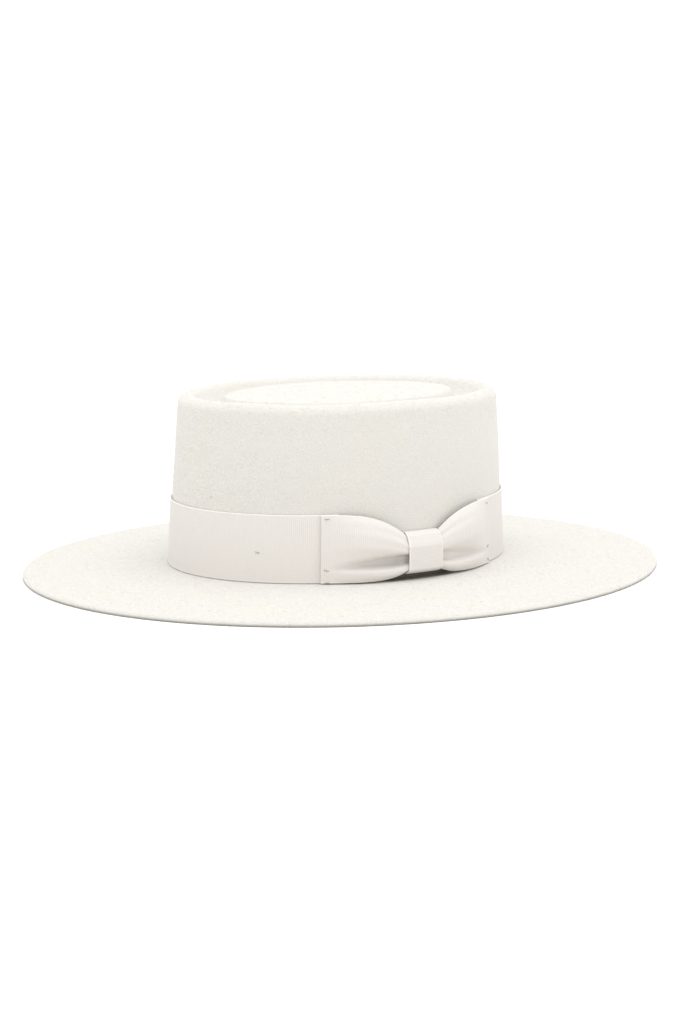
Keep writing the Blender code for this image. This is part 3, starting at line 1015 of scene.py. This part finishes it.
class HAT_OT_tie_bow(bpy.types.Operator):
    """Fold the flat bow and wrap its knot"""

    bl_idname = "hat.tie_bow"
    bl_label = "Tie Bow"

    def execute(self, context):
        finish = bpy.data.materials.get("woven_grosgrain")
        if finish is None:
            raise RuntimeError("wrap the band before tying the bow")
        crown = Crown(context.scene.hat_felt)
        ribbon = context.scene.hat_ribbon
        bow = Bow(crown, ribbon, context.scene.hat_bow)
        length = 2 * (bow.bow.length + bow.fold_length)
        along = along_ribbon(length, ribbon.rib_pitch)
        across = across_ribbon(ribbon.width, LOOP_STEP)
        loop = woven(
            "bow_ribbon", bow.loop(along, across / ribbon.width), along, across, True, ribbon, finish
        )
        # Painted shade deep in the front loop's valley, on both faces of the ribbon
        darkened = bow.painted_shading(along, across / ribbon.width)
        store(loop, "painted_shade", "FLOAT", np.concatenate((darkened, darkened[:, ::-1]), axis=1))
        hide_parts("bow_loop")

        width = bow.bow.knot_width
        length = bow.wrap_section(8)[2]
        along = along_ribbon(length, ribbon.rib_pitch)
        across = across_ribbon(width, WRAP_STEP)
        height, out, _ = bow.wrap_section(len(along))
        middle = crown.place((across - width / 2)[None, :], height[:, None], out[:, None])
        wrap = woven("bow_wrap", middle, along, across, True, ribbon, finish)
        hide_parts("bow_knot")
        return {"FINISHED"}


# Thread


def stitch(crown, arc, height, out, slant, sizes):
    """Points of one stitch, a small arch of thread over the ribbon."""
    run = np.linspace(-0.5, 0.5, STITCH_POINTS)
    arcs = arc + sizes.length * run * math.cos(slant)
    heights = height + sizes.length * run * math.sin(slant)
    # The arch dips a little past half a turn, so that the ends go into the ribbon
    rise = sizes.rise * np.cos(math.pi * run * 1.15)
    return crown.place(arcs, heights, out + rise)


def thread_tube(path, radius):
    """Points and faces of a closed tube of thread along a path."""
    sides = THREAD_SIDES
    ahead = unit(np.gradient(path, axis=0))
    side = unit(np.cross(ahead, (0.0, 0.0, 1.0)))
    up = np.cross(side, ahead)
    turn = np.linspace(0, 2 * math.pi, sides, endpoint=False)
    round_it = np.cos(turn)[None, :, None] * side[:, None] + np.sin(turn)[None, :, None] * up[:, None]
    points = path[:, None] + radius * round_it
    faces = grid_faces(len(path), sides, False, True)
    faces.append(tuple(reversed(range(sides))))
    faces.append(tuple((len(path) - 1) * sides + k for k in range(sides)))
    return points.reshape(-1, 3), faces


# Tacks at the ends of the bow and on the band
TACKS = (
    # (arc in mm from the middle of the bow, share of the ribbon's height, slant in degrees, over the bow)
    (-54.6, 0.94, 4, True),
    (-54.8, 0.19, -18, True),
    (-54.2, 0.01, 2, True),
    (-93.0, 0.44, -14, False),
    (54.6, 0.26, 30, True),
    (55.0, 0.06, -35, True),
    (54.8, 0.92, 0, True),
)


class HAT_OT_sew_tacks(bpy.types.Operator):
    """Sew the tacks that hold the bow to the band"""

    bl_idname = "hat.sew_tacks"
    bl_label = "Sew Tacks"

    def execute(self, context):
        crown = Crown(context.scene.hat_felt)
        ribbon, sizes = context.scene.hat_ribbon, context.scene.hat_tacks
        bow = Bow(crown, ribbon, context.scene.hat_bow)
        points, faces = [], []
        for arc, share, slant, over_bow in TACKS:
            arc = arc / 1000
            height = ribbon.lift + ribbon.width * share
            if over_bow:
                out = float(bow.front_out(arc / bow.reach, np.array([share]))[0])
            else:
                out = ribbon.seat
            out += ribbon.thickness / 2
            path = stitch(crown, arc, height, out, math.radians(slant), sizes)
            tube_points, tube_faces = thread_tube(path, sizes.radius)
            start = sum(len(p) for p in points)
            faces += [tuple(start + k for k in face) for face in tube_faces]
            points.append(tube_points)
        tacks = add_mesh(
            "thread_tacks", np.concatenate(points), faces, spun_thread(context.scene.hat_colours)
        )
        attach(tacks, BODY)
        return {"FINISHED"}


# Stage


def add_light(name, place, size, watts, aim):
    """A soft square box of light that faces a point."""
    light = bpy.data.lights.new(name, "AREA")
    light.shape = "SQUARE"
    light.size = size
    light.energy = watts
    made = bpy.data.objects.new(name, light)
    made.location = place
    made.rotation_euler = (Vector(aim) - Vector(place)).to_track_quat("-Z", "Y").to_euler()
    bpy.context.scene.collection.objects.link(made)


def set_world(stage):
    """A white dome, which may be darker towards the horizon."""
    world = bpy.data.worlds.new("white_dome")
    bpy.context.scene.world = world
    world.use_nodes = True
    tree = world.node_tree
    way = add_node(tree, "ShaderNodeTexCoord").outputs["Generated"]
    up = add_node(tree, "ShaderNodeSeparateXYZ", Vector=way).outputs["Z"]
    strength = remap(tree, up, 0.0, 1.0, stage.horizon, stage.dome)
    join(tree, tree.nodes["Background"], Strength=strength, Color=(1.0, 1.0, 1.0, 1.0))


def set_camera(stage):
    """The camera at the picture's viewing angle."""
    level = math.cos(stage.elevation)
    away = Vector(
        (math.sin(stage.azimuth) * level, -math.cos(stage.azimuth) * level, math.sin(stage.elevation))
    )
    right = Vector((math.cos(stage.azimuth), math.sin(stage.azimuth), 0.0))
    target = right * stage.target_right + Vector((0.0, 0.0, stage.target_z))
    data = bpy.data.cameras.new("picture_camera")
    data.lens = stage.focal_pixels / max(PHOTO_SIZE) * data.sensor_width
    camera = bpy.data.objects.new("picture_camera", data)
    camera.location = target + away * stage.distance
    facing = (-away).to_track_quat("-Z", "Y")
    camera.rotation_mode = "QUATERNION"
    camera.rotation_quaternion = facing @ Quaternion((0.0, 0.0, 1.0), stage.roll)
    bpy.context.scene.collection.objects.link(camera)
    bpy.context.scene.camera = camera


class HAT_OT_set_stage(bpy.types.Operator):
    """Lay the floor, light it softly and set up the camera"""

    bl_idname = "hat.set_stage"
    bl_label = "Set Stage"

    def execute(self, context):
        stage = context.scene.hat_stage
        angle = np.linspace(0, 2 * math.pi, FLOOR_SIDES, endpoint=False)
        rings = stage.floor_radius * np.array(FLOOR_RINGS)[:, None]
        x, y = rings * np.cos(angle), rings * np.sin(angle)
        points = np.stack((x, y, np.zeros_like(x)), axis=-1).reshape(-1, 3)
        faces = grid_faces(len(rings), FLOOR_SIDES, False, True) + [tuple(range(FLOOR_SIDES))]
        floor = add_mesh("paper_floor", points, faces, seamless_paper(context.scene.hat_colours))
        set_world(stage)
        add_light("overhead_box", BOX_PLACE, BOX_SIZE, stage.overhead, BOX_AIM)
        set_camera(stage)
        context.scene.view_settings.view_transform = "Standard"
        return {"FINISHED"}


GROUPS = (
    ("hat_felt", FeltSizes),
    ("hat_nap", NapSizes),
    ("hat_ribbon", RibbonSizes),
    ("hat_bow", BowSizes),
    ("hat_tacks", TackSizes),
    ("hat_colours", FinishColours),
    ("hat_stage", StageSettings),
)

OPERATORS = (
    HAT_OT_block_felt,
    HAT_OT_raise_nap,
    HAT_OT_wrap_band,
    HAT_OT_tie_bow,
    HAT_OT_sew_tacks,
    HAT_OT_set_stage,
)


class HAT_PT_panel(bpy.types.Panel):
    """The hat's sizes, colours and steps"""

    bl_idname = "HAT_PT_panel"
    bl_label = "Felt Gambler Hat"
    bl_space_type = "VIEW_3D"
    bl_region_type = "UI"
    bl_category = "Hat"

    def draw(self, context):
        layout = self.layout
        for step in OPERATORS:
            layout.operator(step.bl_idname)
        for name, group in GROUPS:
            box = layout.box()
            box.label(text=group.__doc__.split(".")[0])
            for field in group.__annotations__:
                box.prop(getattr(context.scene, name), field)


CLASSES = tuple(group for _, group in GROUPS) + OPERATORS + (HAT_PT_panel,)


def register():
    for each in CLASSES:
        bpy.utils.register_class(each)
    for name, group in GROUPS:
        setattr(bpy.types.Scene, name, PointerProperty(type=group))


def unregister():
    for name, _ in GROUPS:
        delattr(bpy.types.Scene, name)
    for each in reversed(CLASSES):
        bpy.utils.unregister_class(each)


def main():
    """Makes the hat and its stage."""
    register()
    bpy.ops.hat.block_felt()
    bpy.ops.hat.raise_nap()
    bpy.ops.hat.wrap_band()
    bpy.ops.hat.tie_bow()
    bpy.ops.hat.sew_tacks()
    bpy.ops.hat.set_stage()


if __name__ == "__main__":
    main()
